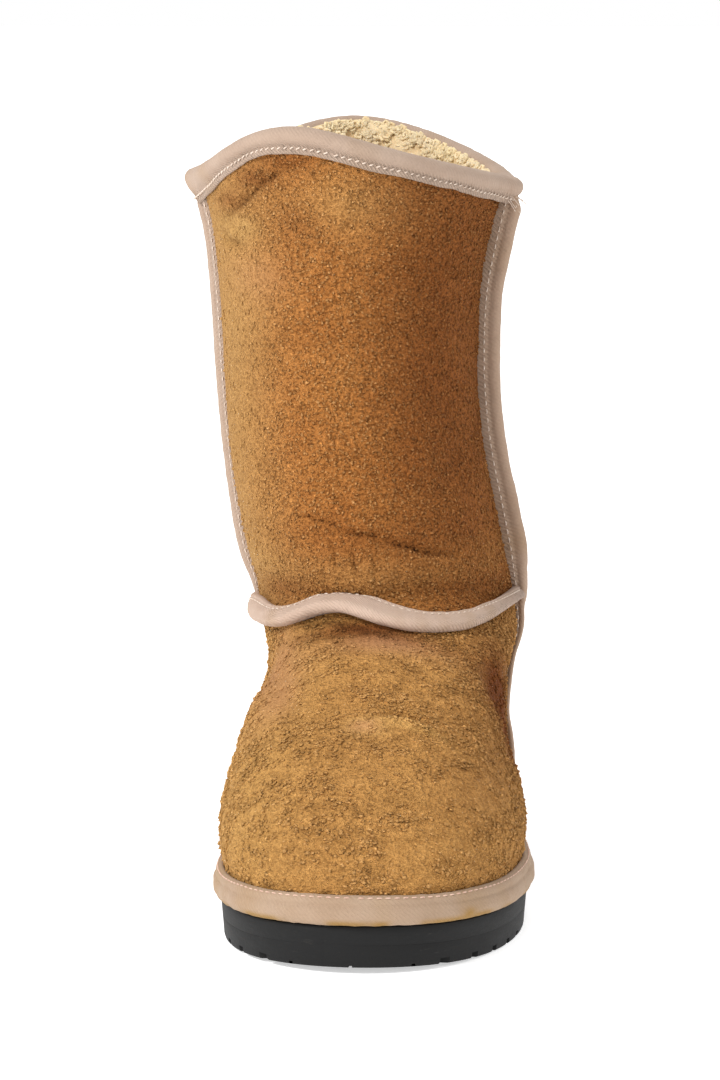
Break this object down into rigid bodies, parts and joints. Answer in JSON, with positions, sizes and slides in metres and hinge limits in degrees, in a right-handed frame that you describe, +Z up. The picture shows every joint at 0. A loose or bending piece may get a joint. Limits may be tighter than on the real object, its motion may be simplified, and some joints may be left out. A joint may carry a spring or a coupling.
{
  "type": "sheepskin boot",
  "caption": "Pull-on mid-calf sheepskin boot with a rounded toe, bound seams, scalloped fleece-lined collar and moulded rubber sole.",
  "frame": {"origin": "on the floor under the middle of the heel, on the outsole's own lower face", "axes": "-Y is the way the toe points, +X is the medial side of this right boot, +Z is up along the shaft, and the floor is Z = 0"},
  "size_m": [0.1395, 0.2845, 0.2822],
  "materials": {
    "suede": "napped tan suede side of a sheepskin, worn and lightly creased",
    "fleece": "cream curly fleece pile",
    "binding_tape": "matte beige twill tape with pale stitching",
    "sole_rubber": "matte black moulded rubber"
  },
  "bodies": {
    "root": {"outsole": "sole_rubber", "insole": "fleece", "upper": "suede", "welt_tape": "binding_tape", "instep_tape": "binding_tape", "side_tape_medial": "binding_tape", "side_tape_lateral": "binding_tape", "collar_tape": "binding_tape"}
  },
  "joints": []
}
